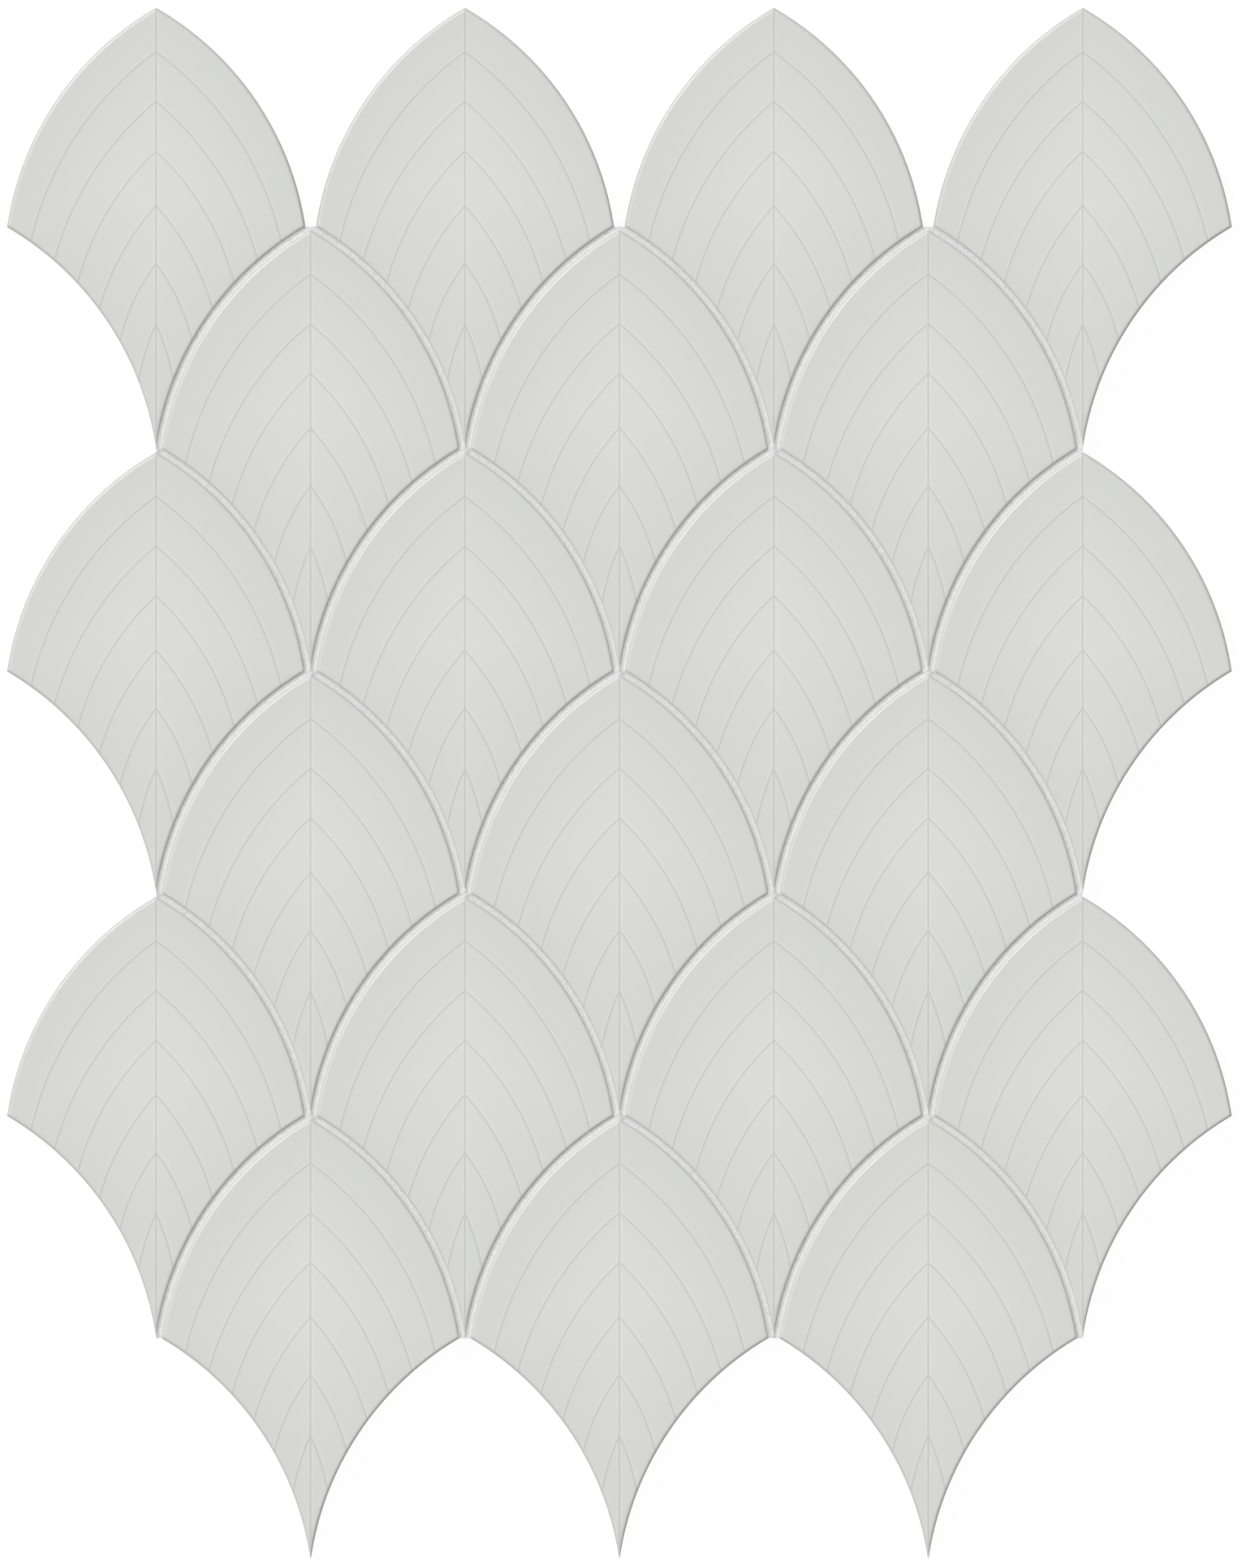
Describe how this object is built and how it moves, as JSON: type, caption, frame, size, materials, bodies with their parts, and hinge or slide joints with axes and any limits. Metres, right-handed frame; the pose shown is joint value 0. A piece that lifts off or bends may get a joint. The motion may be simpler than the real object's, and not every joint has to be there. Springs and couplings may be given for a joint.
{
  "type": "fish scale tile",
  "caption": "Mosaic sheet of leaf-shaped glazed scales with a pointed head and a needle tip, laid in staggered rows and joined by recessed filler; its outline interlocks with the next sheet.",
  "frame": {"origin": "middle of the back, on the plane that the sheet lies on", "axes": "X across the sheet, Y from the tips of the scales to their heads, Z out of the face"},
  "size_m": [0.2518, 0.3188, 0.0065],
  "materials": {
    "glazed_scale": "pale grey satin glaze with incised veins",
    "filler": "fine sandy light grey cement filler"
  },
  "bodies": {
    "root": {"scale_row1_1": "glazed_scale", "scale_row1_2": "glazed_scale", "scale_row1_3": "glazed_scale", "scale_row1_4": "glazed_scale", "scale_row2_1": "glazed_scale", "scale_row2_2": "glazed_scale", "scale_row2_3": "glazed_scale", "scale_row3_1": "glazed_scale", "scale_row3_2": "glazed_scale", "scale_row3_3": "glazed_scale", "scale_row3_4": "glazed_scale", "scale_row4_1": "glazed_scale", "scale_row4_2": "glazed_scale", "scale_row4_3": "glazed_scale", "scale_row5_1": "glazed_scale", "scale_row5_2": "glazed_scale", "scale_row5_3": "glazed_scale", "scale_row5_4": "glazed_scale", "scale_row6_1": "glazed_scale", "scale_row6_2": "glazed_scale", "scale_row6_3": "glazed_scale", "joint_filler": "filler"}
  },
  "joints": []
}
